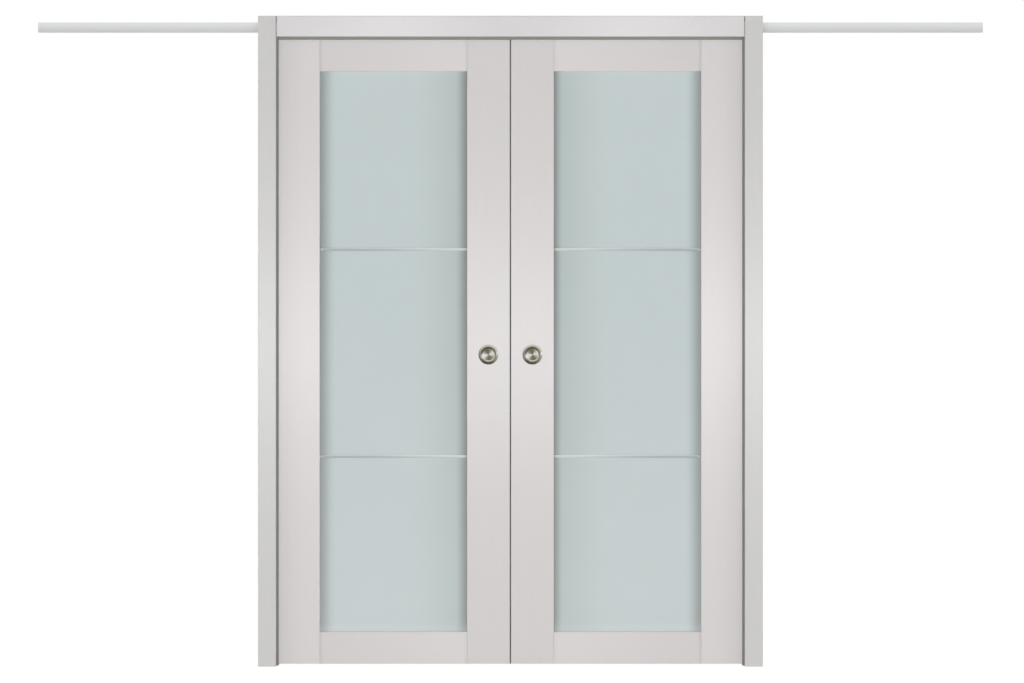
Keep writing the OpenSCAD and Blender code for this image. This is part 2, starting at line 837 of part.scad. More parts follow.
side_casing();  // right_back_casing
back() head_casing();  // head_front_casing
head_casing();  // head_back_casing
draught_seals();
track();
frame_screws();
track_stops();
stop_buffers();
floor_guides();
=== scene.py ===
import math

import bmesh
import bpy
from mathutils import Matrix, Vector


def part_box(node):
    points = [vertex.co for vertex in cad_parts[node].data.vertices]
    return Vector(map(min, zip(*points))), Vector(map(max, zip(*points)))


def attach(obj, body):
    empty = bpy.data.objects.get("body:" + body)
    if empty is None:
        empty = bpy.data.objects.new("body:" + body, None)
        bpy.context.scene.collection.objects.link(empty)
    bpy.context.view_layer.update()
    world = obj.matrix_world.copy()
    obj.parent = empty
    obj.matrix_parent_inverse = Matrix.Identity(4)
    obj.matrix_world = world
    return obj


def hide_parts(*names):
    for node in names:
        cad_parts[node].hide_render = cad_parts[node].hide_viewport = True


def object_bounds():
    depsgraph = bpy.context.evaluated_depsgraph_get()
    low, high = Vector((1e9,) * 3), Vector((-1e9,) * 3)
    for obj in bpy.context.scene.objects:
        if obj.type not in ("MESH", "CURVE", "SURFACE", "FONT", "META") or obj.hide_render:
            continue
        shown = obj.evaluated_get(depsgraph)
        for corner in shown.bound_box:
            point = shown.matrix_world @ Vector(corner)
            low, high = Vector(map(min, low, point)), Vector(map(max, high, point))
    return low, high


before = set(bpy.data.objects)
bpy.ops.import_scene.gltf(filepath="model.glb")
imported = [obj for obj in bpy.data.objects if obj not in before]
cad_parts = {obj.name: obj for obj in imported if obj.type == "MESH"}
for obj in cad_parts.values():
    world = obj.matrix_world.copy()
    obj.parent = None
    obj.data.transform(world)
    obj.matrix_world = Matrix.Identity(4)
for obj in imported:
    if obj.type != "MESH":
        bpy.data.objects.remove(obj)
cadLow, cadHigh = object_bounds()

# Places that the frame gives, in metres
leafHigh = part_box("right_outer_stile")[1]
railLow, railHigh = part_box("right_top_rail")
pullLow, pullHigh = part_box("right_back_pull")
barLow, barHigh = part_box("right_divider_bars")
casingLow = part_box("right_front_casing")[0]
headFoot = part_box("head_front_casing")[0].z
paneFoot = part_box("right_glass_middle")[0].z
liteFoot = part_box("right_bottom_rail")[1].z
liteInner, liteOuter = railLow.x, railHigh.x  # where the glass shows, from the middle outwards
leafFace = leafHigh.y                       # half the thickness of a leaf
pullCentre = (pullLow + pullHigh) / 2

sides = {"left": -1, "right": 1}
alongX, alongY, alongZ = range(3)
white, black = (1.0, 1.0, 1.0), (0.0, 0.0, 0.0)
fibrous = {"detail": 3.0, "roughness": 0.6}  # a noise with finer threads in it
samePoint = 1e-6                            # points nearer than this become one


class Wire:  # one output socket, so that sums can be written as Python
    def __init__(self, finish, socket):
        self.finish = finish
        self.socket = socket

    def maths(self, operation, first, second=0.0):
        return self.finish.node("ShaderNodeMath", {"operation": operation}, {0: first, 1: second})

    def __add__(self, other):
        return self.maths("ADD", self, other)

    def __radd__(self, other):
        return self.maths("ADD", other, self)

    def __sub__(self, other):
        return self.maths("SUBTRACT", self, other)

    def __rsub__(self, other):
        return self.maths("SUBTRACT", other, self)

    def __mul__(self, other):
        return self.maths("MULTIPLY", self, other)

    def __rmul__(self, other):
        return self.maths("MULTIPLY", other, self)

    def __truediv__(self, other):
        return self.maths("DIVIDE", self, other)

    def __abs__(self):
        return self.maths("ABSOLUTE", self)

    def above(self, level):  # 1 where the value is over the level, else 0
        return self.maths("GREATER_THAN", self, level)

    def atLeast(self, other):
        return self.maths("MAXIMUM", self, other)

    def sine(self):
        return self.maths("SINE", self)

    def bell(self):  # exp(-x * x)
        return self.maths("EXPONENT", 0.0 - self * self)

    def root(self):
        return self.maths("SQRT", self)


class Finish:  # a material, or the world: constants go on its shader's sockets, patterns come from nodes
    def __init__(self, name, constants, kind="materials", shader="Principled BSDF"):
        self.made = getattr(bpy.data, kind).new(name)
        self.made.use_nodes = True
        self.tree = self.made.node_tree
        self.shader = self.tree.nodes[shader]
        for socket, value in constants.items():
            self.shader.inputs[socket].default_value = value

    def node(self, kind, settings, inputs, output=0):
        made = self.tree.nodes.new(kind)
        for name, value in settings.items():
            if name == "stops":
                while len(made.color_ramp.elements) < len(value):
                    made.color_ramp.elements.new(0.5)
                for element, (place, colour) in zip(made.color_ramp.elements, value):
                    element.position = place
                    element.color = (*colour, 1.0)
            else:
                setattr(made, name, value)
        for name, value in inputs.items():
            if isinstance(value, Wire):
                self.tree.links.new(value.socket, made.inputs[name])
            else:
                made.inputs[name].default_value = value
        return Wire(self, made.outputs[output])

    def place(self, output="Object"):
        return self.node("ShaderNodeTexCoord", {}, {}, output)

    def axes(self, vector):
        return [self.node("ShaderNodeSeparateXYZ", {}, {0: vector}, i) for i in range(3)]

    def facing(self, axis):  # 1 on the faces that look along an axis, else 0
        return abs(self.axes(self.place("Normal"))[axis]).above(0.9)

    # pitch: specks per metre along each axis
    def noise(self, vector, pitch, detail=2.0, roughness=0.5, shift=0.0):
        moved = self.node("ShaderNodeMapping", {}, {
            "Vector": vector, "Scale": pitch, "Location": (shift, shift * 0.7, shift * 1.3)})
        return self.node("ShaderNodeTexNoise", {}, {
            "Vector": moved, "Scale": 1.0, "Detail": detail, "Roughness": roughness})

    def between(self, value, start, end, first=0.0, last=1.0, kind="SMOOTHSTEP"):  # from first to last
        return self.node("ShaderNodeMapRange", {"interpolation_type": kind}, {
            "Value": value, "From Min": start, "From Max": end, "To Min": first, "To Max": last})

    def blend(self, factor, first, second):
        return self.node("ShaderNodeMix", {"data_type": "RGBA"}, {
            "Factor": factor, 6: asColour(first), 7: asColour(second)}, 2)

    def ramp(self, factor, stops):
        return self.node("ShaderNodeValToRGB", {"stops": stops}, {0: factor})

    def feed(self, socket, wire):
        self.tree.links.new(wire.socket, self.shader.inputs[socket])

    def emboss(self, height, strength, depth):
        self.feed("Normal", self.node("ShaderNodeBump", {}, {
            "Height": height, "Strength": strength, "Distance": depth}))


def asColour(value):
    return value if isinstance(value, Wire) else (*value, 1.0)


def paint(red, green, blue):  # an 8-bit screen colour as the linear colour that shaders take
    return tuple(v / 12.92 if v <= 0.04045 else ((v + 0.055) / 1.055) ** 2.4
                 for v in (c / 255 for c in (red, green, blue)))


def shaded(colour, share):
    return tuple(min(1.0, c * share) for c in colour)


# Finishes. Each "emboss" is the strength and the depth of the relief, and each "uneven" how much the
# roughness wanders.

laminate = {
    "leafColour": paint(203, 199, 198),
    "frameColour": paint(193, 192, 191),
    "headColour": paint(208, 206, 206),
    "contrast": 0.20,         # how far the darkest and the palest tone lie from the colour
    "streak": 0.20,           # how much of that the grain takes up
    "middle": 1.05,           # height at which the painted shade leaves an upright at its own colour
    "leafShadeTilt": 0.05,         # painted shade: how much paler a leaf grows per metre downwards
    # the same painted shade on the frame
    "frameTilt": 0.05,
    "meetingDim": 0.10,       # painted shade: how much darker the meeting stiles are than the outer ones
    "fine": 900.0,            # streaks per metre across the grain
    "broad": 130.0,
    "lengthwise": 7.0,        # and along it
    "fleckTimes": 4.0,        # how much closer the flecks lie than the broad streaks
    "shares": (0.55, 0.30, 0.15),  # of the fine streaks, the broad ones and the flecks
    "roughness": 0.25,
    "uneven": 0.12,
    "emboss": (0.04, 0.0002),
    "coreColour": paint(186, 164, 132),
    "corePitch": (260, 260, 260),
    "coreRougher": 0.45,      # how much rougher a cut end is than the face
}


def makeLaminate(name, colour, lengthwise, shadeTilt=0.0, paintedDim=0.0, paintedBands=None):
    finish = Finish(name, {"IOR": 1.5})
    place = finish.place()
    x, y, z = finish.axes(place)

    def stretched(across, times=1.0):
        return [times * (laminate["lengthwise"] if i == lengthwise else across) for i in range(3)]

    fine = finish.noise(place, stretched(laminate["fine"]), **fibrous)
    broad = finish.noise(place, stretched(laminate["broad"]), shift=3.1)
    closer = stretched(laminate["broad"], laminate["fleckTimes"])
    flecks = finish.noise(place, closer, detail=1.0, roughness=0.4, shift=7.7)
    fineShare, broadShare, fleckShare = laminate["shares"]
    grain = fine * fineShare + broad * broadShare + flecks * fleckShare
    # the grain, with a painted shade that grows paler downwards
    shade = (grain - 0.5) * laminate["streak"] + (laminate["middle"] - z) * shadeTilt
    # painted shade on the meeting stiles
    shade = shade - (liteInner - abs(x)).above(0.0) * paintedDim
    if paintedBands:
        # a painted highlight along the board, and painted shade at its joints
        along = (x, y, z)[lengthwise]
        glow = ((abs(along) - paintedBands["centre"]) / paintedBands["width"]).bell()
        shade = shade + (glow - paintedBands["level"]) * paintedBands["strength"]
        for joint, reach, depth in paintedBands["joints"]:
            shade = shade - ((abs(along) - joint) / reach).bell() * depth
    darkest, palest = 1 - laminate["contrast"], 1 + laminate["contrast"]
    tone = finish.blend(shade + 0.5, shaded(colour, darkest), shaded(colour, palest))
    specks = finish.noise(place, laminate["corePitch"], detail=3.0, roughness=0.7, shift=1.9)
    core = finish.blend(specks, shaded(laminate["coreColour"], darkest), laminate["coreColour"])
    cutEnd = finish.facing(lengthwise)
    finish.feed("Base Color", finish.blend(cutEnd, tone, core))
    rougher = cutEnd * laminate["coreRougher"] + (fine - 0.5) * laminate["uneven"]
    finish.feed("Roughness", rougher + laminate["roughness"])
    finish.emboss(fine, *laminate["emboss"])
    return finish.made


glass = {
    "colour": paint(187, 197, 197),
    "edgeColour": paint(136, 142, 140),  # in the shade beside a stile
    "meetingShadeColour": paint(175, 186, 184),  # painted shade towards the meeting stile
    "shadeStart": 0.004,      # the shade is deepest this far behind the edge of a stile
    "outerShade": 0.052,      # how far the shade beside the outer stile reaches
    "outerStrength": 0.80,
    "leftShade": 0.040,       # beside the meeting stile of the left leaf
    "rightShade": 0.029,      # and of the right one
    "meetingShadeReach": 0.190,
    "pale": 0.075,            # how far the colour is on its way to the paler one
    "paler": 0.5,             # and how far that one is on its way to white
    "lift": 0.130,            # painted light: how much paler the glass grows per metre downwards
    "paintedFootLift": 0.30,         # and painted light just above the bottom rail, in place of the rail's shade there
    "footReach": 0.020,
    "etching": (2600, 2600, 2600),
    "etchContrast": 0.06,
    "clouds": (5, 5, 5),
    "cloudContrast": 0.08,
    "roughness": 0.65,
    "uneven": 0.2,
    "emboss": (0.06, 0.0001),
}


def makeFrostedGlass(name):
    finish = Finish(name, {"IOR": 1.5, "Specular IOR Level": 0.2})
    place = finish.place()
    x, y, z = finish.axes(place)
    fromMiddle = abs(x)

    def shade(distance, reach):  # 1 at the edge of the glass, 0 from the reach onwards
        return finish.between(distance, -glass["shadeStart"], reach, 1.0, 0.0)

    outer = shade(liteOuter - fromMiddle, glass["outerShade"]) * glass["outerStrength"]
    steeper = x.above(0.0) * (glass["leftShade"] / glass["rightShade"] - 1) + 1
    inner = shade((fromMiddle - liteInner) * steeper, glass["leftShade"])
    # painted shade that deepens towards the meeting stile
    meetingShade = shade(fromMiddle - liteInner, glass["meetingShadeReach"])
    tone = finish.blend(meetingShade, glass["colour"], glass["meetingShadeColour"])
    tone = finish.blend(outer.atLeast(inner), tone, glass["edgeColour"])
    etch = finish.noise(place, glass["etching"], roughness=0.6)
    cloud = finish.noise(place, glass["clouds"], shift=4.2)
    pale = (cloud - 0.5) * glass["cloudContrast"] + (etch - 0.5) * glass["etchContrast"]
    # painted light, paler downwards and just above the bottom rail
    pale = pale + (paneFoot - z) * glass["lift"] + glass["pale"]
    pale = pale + ((z - liteFoot) / glass["footReach"]).bell() * glass["paintedFootLift"]
    finish.feed("Base Color", finish.blend(pale, tone, finish.blend(glass["paler"], tone, white)))
    finish.feed("Roughness", (etch - 0.5) * glass["uneven"] + glass["roughness"])
    finish.emboss(etch, *glass["emboss"])
    return finish.made


brushed = {
    # pale: the colour where the painted highlight is brightest
    "divider": {"colour": paint(190, 198, 200), "pale": paint(226, 231, 232), "lines": (6, 1500, 1500),
                "roughness": 0.38},
    "track": {"colour": paint(236, 237, 238), "pale": paint(240, 240, 241), "lines": (6, 700, 700),
              "roughness": 0.45},
    "highlightReach": 0.36,        # painted highlight, from the meeting stile outwards
    "patches": (9, 60, 60),
    "shares": (0.7, 0.3),     # of the lines and the patches
    "dull": 0.14,             # how far the darkest lines lie towards black
    "uneven": 0.25,
    "emboss": (0.25, 0.0002),
}
bar = {
    "face": 0.008,            # height of one divider bar
    "litEdge": (0.10, 0.35),  # where the painted highlight on its upper edge turns bright, in parts of that height from its middle
    "lit": 0.5,
    "litMore": 0.4,           # added towards the middle of the doorway
    "end": 0.010,             # width of the painted highlight at the outer end
    "endLit": 0.5,
}


def barLight(finish, x, z, towards):  # the painted highlights on the divider bars
    upper = z.above((barLow.z + barHigh.z) / 2)
    fromMiddle = z - upper * (barHigh.z - barLow.z - bar["face"]) - (barLow.z + bar["face"] / 2)
    edge = finish.between(fromMiddle, *(bar["face"] * part for part in bar["litEdge"]))
    end = (abs(x) - (liteOuter - bar["end"])).above(0.0) * bar["endLit"]
    return (edge * (towards * bar["litMore"] + bar["lit"])).atLeast(end)


def makeBrushed(name, metal):  # fine lines along X, with a painted highlight, paler towards the middle of the doorway
    finish = Finish(name, {"Metallic": 1.0})
    place = finish.place()
    x, y, z = finish.axes(place)
    lines = finish.noise(place, metal["lines"], **fibrous)
    patches = finish.noise(place, brushed["patches"], shift=5.0)
    # painted highlight, paler towards the middle of the doorway
    towards = finish.between(abs(x), liteInner, liteInner + brushed["highlightReach"], 1.0, 0.0)
    tone = finish.blend(towards, metal["colour"], metal["pale"])
    if metal is brushed["divider"]:
        # painted highlights on the divider bars
        tone = finish.blend(barLight(finish, x, z, towards), tone, white)
    lineShare, patchShare = brushed["shares"]
    dull = finish.blend(brushed["dull"], tone, black)
    finish.feed("Base Color", finish.blend(lines * lineShare + patches * patchShare, dull, tone))
    finish.feed("Roughness", (lines - 0.5) * brushed["uneven"] + metal["roughness"])
    finish.emboss(lines, *brushed["emboss"])
    return finish.made


zinc = {
    "colour": paint(172, 175, 178),
    "dull": 0.78,             # the darkest spangle, in parts of the colour
    "spangle": (420, 420, 420),
    "scratches": (2600, 300, 300),
    "roughness": 0.36,
    "uneven": (0.3, 0.2),     # in the spangle and in the scratches
    "emboss": (0.12, 0.0002),
}


def makeZinc(name):
    finish = Finish(name, {"Metallic": 1.0})
    place = finish.place()
    spangle = finish.noise(place, zinc["spangle"], roughness=0.55)
    scratches = finish.noise(place, zinc["scratches"], shift=2.0)
    spangled, scratched = zinc["uneven"]
    finish.feed("Base Color", finish.blend(spangle, shaded(zinc["colour"], zinc["dull"]), zinc["colour"]))
    finish.feed("Roughness", (spangle - 0.5) * spangled + (scratches - 0.5) * scratched + zinc["roughness"])
    finish.emboss(scratches, *zinc["emboss"])
    return finish.made


nickel = {
    "ringPitch": 0.00045,     # of the lathe marks
    "floor": 0.0190,          # radius at which the floor's painted sheen ends and the wall's painted shade begins
    "mouth": 0.0247,          # and at which the rim's begins
    "rim": 0.032,             # and at which the rim ends
    "paintedSheenAngle": 14.0,       # of the painted sheen, a bright fan across a turned face, in degrees
    "wallLean": -0.3,         # how far the painted shades of the wall and the rim lean sideways
    "rimLean": 0.4,
    # colours of the painted sheen on the floor and of the painted shades on the wall and the rim
    "paintedSheenStops": ((0.0, paint(120, 117, 100)), (0.5, paint(164, 161, 144)), (1.0, paint(242, 240, 229))),
    "wallShadeStops": ((0.1, paint(226, 224, 210)), (0.45, paint(170, 168, 152)), (0.9, paint(114, 112, 96))),
    "rimShadeStops": ((0.1, paint(92, 90, 74)), (0.5, paint(172, 170, 154)), (0.9, paint(206, 203, 187))),
    # a painted highlight on the wall and one on the rim: how far across and up, half their width and height
    "glints": ((-0.0194, -0.0056, 0.0055, 0.0075), (0.0290, 0.0045, 0.0035, 0.0065)),
    "wear": (70, 70, 70),
    "dull": 0.14,             # how far the most worn places lie towards black
    "roughness": 0.30,
    "uneven": 0.2,
    "emboss": (0.2, 0.00004),
}


def makeTurned(name, facing):  # lathe marks round the axis of each pull, with the painted sheen, shades and highlights of a turned face
    finish = Finish(name, {"Metallic": 1.0})
    place = finish.place()
    x, y, z = finish.axes(place)
    across = x - (x.above(0.0) * 2 - 1) * pullCentre.x if facing == "y" else y
    up = z - pullCentre.z
    radius = (across * across + up * up + 1e-9).root()  # never 0
    rings = (radius * (2 * math.pi / nickel["ringPitch"])).sine()
    angle = math.radians(nickel["paintedSheenAngle"])
    along = (across * math.cos(angle) + up * math.sin(angle)) / radius
    # painted sheen across the turned face
    tone = finish.ramp(along * along, nickel["paintedSheenStops"])

    def risen(lean, reach):  # 0 at the foot of a round face, 1 at its top, for its painted shade
        return (up + across * lean) / reach * 0.5 + 0.5

    if facing == "y":
        wall = finish.ramp(risen(nickel["wallLean"], nickel["mouth"]), nickel["wallShadeStops"])
        rim = finish.ramp(risen(nickel["rimLean"], nickel["rim"]), nickel["rimShadeStops"])
        tone = finish.blend(radius.above(nickel["floor"]), tone, wall)
        tone = finish.blend(radius.above(nickel["mouth"]), tone, rim)
        # painted highlights on the wall and the rim
        for right, high, halfWidth, halfHeight in nickel["glints"]:
            paintedGlint = ((across - right) / halfWidth).bell() * ((up - high) / halfHeight).bell()
            tone = finish.blend(paintedGlint, tone, white)
    wear = finish.noise(place, nickel["wear"], shift=6.0)
    finish.feed("Base Color", finish.blend(wear, finish.blend(nickel["dull"], tone, black), tone))
    finish.feed("Roughness", (wear - 0.5) * nickel["uneven"] + nickel["roughness"])
    finish.emboss(rings, *nickel["emboss"])
    return finish.made


rubber = {
    # the draught seals are real, but their grey is the painted shade of the reveals they fill, and under
    # the head they are painted paler, for the light there
    "seal": {"colour": paint(116, 114, 113), "headColour": paint(124, 121, 115), "roughness": 0.62},
    "meeting": {"colour": paint(30, 29, 28), "headColour": paint(30, 29, 28), "roughness": 0.62},
    "buffer": {"colour": paint(40, 40, 41), "headColour": paint(40, 40, 41), "roughness": 0.70},
    "headDrop": 0.0095,       # how far below the head casing its seal reaches
    "headShort": 0.009,       # and how far short of the side casings it ends
    "bloom": (90, 90, 90),
    "bloomStrength": 0.5,
    "dust": 0.25,
    "dustColour": (0.5, 0.5, 0.5),
    "pores": (1600, 1600, 1600),
    "uneven": 0.2,
    "emboss": (0.15, 0.0002),
}


def makeRubber(name, kind):
    finish = Finish(name, {"Specular IOR Level": 0.3})
    place = finish.place()
    x, y, z = finish.axes(place)
    bloom = finish.noise(place, rubber["bloom"], **fibrous)
    pores = finish.noise(place, rubber["pores"], shift=8.0)
    # the seal under the head is painted paler, for the light that falls there
    inside = (casingLow.x - rubber["headShort"] - abs(x)).above(0.0)
    paintedPaleHead = z.above(headFoot - rubber["headDrop"]) * inside
    tone = finish.blend(paintedPaleHead, kind["colour"], kind["headColour"])
    dusty = finish.blend(rubber["dust"], tone, rubber["dustColour"])
    finish.feed("Base Color", finish.blend(bloom * rubber["bloomStrength"], tone, dusty))
    finish.feed("Roughness", (pores - 0.5) * rubber["uneven"] + kind["roughness"])
    finish.emboss(pores, *rubber["emboss"])
    return finish.made


nylon = {
    "colour": paint(222, 221, 214),
    "pale": paint(236, 236, 232),
    "flow": (60, 60, 60),
    "pores": (1500, 1500, 1500),
    "roughness": 0.45,
    "uneven": 0.18,
    "emboss": (0.08, 0.0002),
}


def makeNylon(name):
    finish = Finish(name, {})
    place = finish.place()
    flow = finish.noise(place, nylon["flow"])
    pores = finish.noise(place, nylon["pores"], shift=3.0)
    finish.feed("Base Color", finish.blend(flow, nylon["colour"], nylon["pale"]))
    finish.feed("Roughness", (pores - 0.5) * nylon["uneven"] + nylon["roughness"])
    finish.emboss(pores, *nylon["emboss"])
    return finish.made


plywood = {
    "face": paint(214, 190, 150),
    "dark": paint(176, 142, 100),
    "sealer": paint(92, 90, 87),  # painted shade on the edges behind the casings, which show through the gaps between them
    "ply": 0.0018,
    "plyContrast": 0.75,
    "grain": (6, 190, 190),
    "figure": (2, 22, 22),
    "shares": (0.6, 0.4),     # of the grain and the figure
    "gapShadeGrain": 0.3,
    "roughness": 0.62,
    "uneven": 0.2,
    "emboss": (0.2, 0.0003),
}


def makePlywood(name):  # the plies show on the edges, the face veneer's grain on top, and painted shade on the edges that face front and back
    finish = Finish(name, {})
    place = finish.place()
    x, y, z = finish.axes(place)
    grain = finish.noise(place, plywood["grain"], **fibrous)
    figure = finish.noise(place, plywood["figure"], shift=2.5)
    grainShare, figureShare = plywood["shares"]
    face = finish.blend(grain * grainShare + figure * figureShare, plywood["dark"], plywood["face"])
    plies = ((z * (math.pi / plywood["ply"])).sine() + grain - 0.5).above(0.0)
    edge = finish.blend(plies * plywood["plyContrast"], plywood["face"], plywood["dark"])
    tone = finish.blend(finish.facing(alongZ), edge, face)
    # painted shade on the front and back edges, with some grain through it
    gapShaded = finish.blend(grain * plywood["gapShadeGrain"], plywood["sealer"], tone)
    finish.feed("Base Color", finish.blend(finish.facing(alongY), tone, gapShaded))
    finish.feed("Roughness", (grain - 0.5) * plywood["uneven"] + plywood["roughness"])
    finish.emboss(grain, *plywood["emboss"])
    return finish.made


beech = {
    "dark": paint(190, 150, 108),
    "pale": paint(216, 182, 140),
    "flecks": (90, 700, 700),
    "roughness": 0.6,
    "emboss": (0.15, 0.0002),
}


def makeBeech(name):
    finish = Finish(name, {"Roughness": beech["roughness"]})
    flecks = finish.noise(finish.place(), beech["flecks"], **fibrous)
    finish.feed("Base Color", finish.blend(flecks, beech["dark"], beech["pale"]))
    finish.emboss(flecks, *beech["emboss"])
    return finish.made


# painted highlights, paler stretches along a board, and painted shade at its joints: place, reach, depth
headPaintedBands = {"centre": 0.385, "width": 0.24, "strength": 0.28, "level": 0.5, "joints": ()}
railPaintedBands = {"centre": 0.0, "width": 0.55, "strength": 0.28, "level": 0.72,
             "joints": ((liteOuter - 0.0035, 0.0045, 0.24), (liteInner + 0.003, 0.008, 0.13))}
recipes = {  # finish: the function that makes it and what that is given
    "leafUpright": (makeLaminate, laminate["leafColour"], alongZ, laminate["leafShadeTilt"],
                    laminate["meetingDim"]),
    "leafRail": (makeLaminate, laminate["leafColour"], alongX, laminate["leafShadeTilt"], 0.0, railPaintedBands),
    "frameUpright": (makeLaminate, laminate["frameColour"], alongZ, laminate["frameTilt"]),
    "frameHead": (makeLaminate, laminate["headColour"], alongX, 0.0, 0.0, headPaintedBands),
    "frostedGlass": (makeFrostedGlass,),
    "dividerAluminium": (makeBrushed, brushed["divider"]),
    "trackAluminium": (makeBrushed, brushed["track"]),
    "zincPlate": (makeZinc,),
    "facePullNickel": (makeTurned, "y"),
    "edgePullNickel": (makeTurned, "x"),
    "sealRubber": (makeRubber, rubber["seal"]),
    "meetingRubber": (makeRubber, rubber["meeting"]),
    "bufferRubber": (makeRubber, rubber["buffer"]),
    "nylon": (makeNylon,),
    "plywood": (makePlywood,),
    "beech": (makeBeech,),
}
finishes = {name: make(name, *values) for name, (make, *values) in recipes.items()}
print("finishes made:", len(finishes))


def dress(node, finish):  # gives a CAD node its material
    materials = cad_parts[node].data.materials
    materials.clear()
    materials.append(finishes[finish])


leafDress = {
    "outer_stile": "leafUpright", "meeting_stile": "leafUpright",
    "top_rail": "leafRail", "bottom_rail": "leafRail",
    "glass_top": "frostedGlass", "glass_middle": "frostedGlass", "glass_bottom": "frostedGlass",
    "divider_bars": "dividerAluminium", "dowels": "beech",
    "front_pull": "facePullNickel", "back_pull": "facePullNickel", "edge_pull": "edgePullNickel",
    "hanger_plates": "zincPlate", "plate_screws": "zincPlate", "hanger_bolts": "zincPlate",
    "trolleys": "zincPlate", "wheels_1": "nylon", "wheels_2": "nylon",
    "wheels_3": "nylon", "wheels_4": "nylon",
}
frameDress = {
    "left_front_jamb": "frameUpright", "left_back_jamb": "frameUpright",
    "right_front_jamb": "frameUpright", "right_back_jamb": "frameUpright",
    "head_front_jamb": "frameHead", "head_back_jamb": "frameHead", "head_board": "plywood",
    "left_front_casing": "frameUpright", "left_back_casing": "frameUpright",
    "right_front_casing": "frameUpright", "right_back_casing": "frameUpright",
    "head_front_casing": "frameHead", "head_back_casing": "frameHead",
    "draught_seals": "sealRubber", "left_meeting_seals": "meetingRubber",
    "track": "trackAluminium", "frame_screws": "zincPlate", "track_stops": "zincPlate",
    "stop_buffers": "bufferRubber", "floor_guides": "nylon",
}
for part, finish in leafDress.items():
    for side in sides:
        dress(f"{side}_{part}", finish)
for node, finish in frameDress.items():
    dress(node, finish)
print("nodes dressed:", 2 * len(leafDress) + len(frameDress))


# Pieces

def asPiece(name, mesh, finish, body, node, crease=35.0):  # an object that stands for a CAD node
    bmesh.ops.remove_doubles(mesh, verts=mesh.verts, dist=samePoint)
    bmesh.ops.recalc_face_normals(mesh, faces=mesh.faces)
    data = bpy.data.meshes.new(name)
    mesh.to_mesh(data)
    mesh.free()
    for face in data.polygons:
        face.use_smooth = True
    data.set_sharp_from_angle(angle=math.radians(crease))
    data.materials.append(finishes[finish])
    piece = bpy.data.objects.new(name, data)
    bpy.context.scene.collection.objects.link(piece)
    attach(piece, body)
    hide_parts(node)
    return piece


def turn(profile, segments):  # spins a profile of (radius, height) points about +Z
    mesh = bmesh.new()
    verts = [mesh.verts.new((radius, 0.0, height)) for radius, height in profile]
    edges = [mesh.edges.new(pair) for pair in zip(verts, verts[1:])]
    bmesh.ops.spin(mesh, geom=verts + edges, cent=(0, 0, 0), axis=(0, 0, 1),
                   angle=2 * math.pi, steps=segments, use_merge=True)
    return mesh


def copyOf(node):  # a CAD node's mesh with its loose triangles joined
    mesh = bmesh.new()
    mesh.from_mesh(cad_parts[node].data)
    bmesh.ops.remove_doubles(mesh, verts=mesh.verts, dist=samePoint)
    return mesh


def solidsOf(node):  # the lowest and highest corners of each solid in a CAD node
    mesh = copyOf(node)
    left, boxes = set(mesh.verts), []
    while left:
        found, waiting = [], [left.pop()]
        while waiting:
            vert = waiting.pop()
            found.append(vert.co)
            near = {edge.other_vert(vert) for edge in vert.link_edges} & left
            left -= near
            waiting.extend(near)
        boxes.append((tuple(min(c[i] for c in found) for i in range(3)),
                      tuple(max(c[i] for c in found) for i in range(3))))
    mesh.free()
    return [(Vector(low), Vector(high)) for low, high in sorted(boxes)]


def joined(parts):  # several meshes as one
    whole = bmesh.new()
    for part in parts:
        data = bpy.data.meshes.new("part")
        part.to_mesh(data)
        part.free()
        whole.from_mesh(data)
        bpy.data.meshes.remove(data)
    return whole


def put(mesh, place, towards=(0, 0, 1)):  # carries a mesh, made about +Z, to its place
    turned = Vector((0, 0, 1)).rotation_difference(Vector(towards)).to_matrix().to_4x4()
    bmesh.ops.transform(mesh, matrix=Matrix.Translation(place) @ turned, verts=mesh.verts)
    return mesh


def arc(centre, radius, start, end, steps):  # points on an arc, angles in degrees
    angles = [math.radians(start + (end - start) * i / steps) for i in range(steps + 1)]
    return [(centre[0] + radius * math.cos(a), centre[1] + radius * math.sin(a)) for a in angles]


facePull = {
    "mouth": 0.0495,          # diameter of the cup where the rim begins
    "floor": 0.034,           # diameter of its flat floor
    "depth": 0.010,           # below the face of the leaf
    "wall": 0.0015,           # thickness below the floor
    "sideWall": 0.0013,
    "chamfer": 0.001,         # at the back of the cup
    "undercut": 0.0004,       # how much narrower the rim is against the leaf
    "rimFlat": 1.6,           # where the domed rim turns flat, in times its height from its edge
    "lip": 0.0009,            # rounding of the mouth
    "dimple": 0.0014,         # radius of the mark of the lathe's centre
    "dimpleDepth": 0.0005,
    "segments": 128,
}


def makeFacePull(side, face, towards):
    rim = (pullHigh.x - pullLow.x) / 2
    proud = pullHigh.y - leafFace
    mouth, floor = facePull["mouth"] / 2, facePull["floor"] / 2
    chamfer, lip, dimple = facePull["chamfer"], facePull["lip"], facePull["dimple"]
    base = leafFace - facePull["depth"]
    under = base - facePull["wall"]
    top = leafFace + proud
    barrel = mouth + facePull["sideWall"]
    fillet = mouth - floor
    profile = [(0.0, under), (barrel - chamfer, under), (barrel, under + chamfer), (barrel, leafFace),
               (rim - facePull["undercut"], leafFace)]
    profile += arc((rim - proud, leafFace), proud, 5, 70, 6)
    profile += [(rim - proud * facePull["rimFlat"], top), (mouth + lip, top)]
    profile += arc((mouth + lip, top - lip), lip, 110, 180, 4)
    profile += [(mouth, base + fillet)]
    profile += arc((floor, base + fillet), fillet, -12, -78, 10)
    profile += [(floor, base), (floor / 2, base), (dimple, base), (0.0, base - facePull["dimpleDepth"])]
    mesh = put(turn(profile, facePull["segments"]), (sides[side] * pullCentre.x, 0.0, pullCentre.z),
               (0, towards, 0))
    return asPiece(f"{side}{face.title()}PullTurned", mesh, "facePullNickel", f"{side}_leaf",
                   f"{side}_{face}_pull")


for side in sides:
    for face, towards in (("front", -1), ("back", 1)):
        makeFacePull(side, face, towards)
print("face pulls turned")

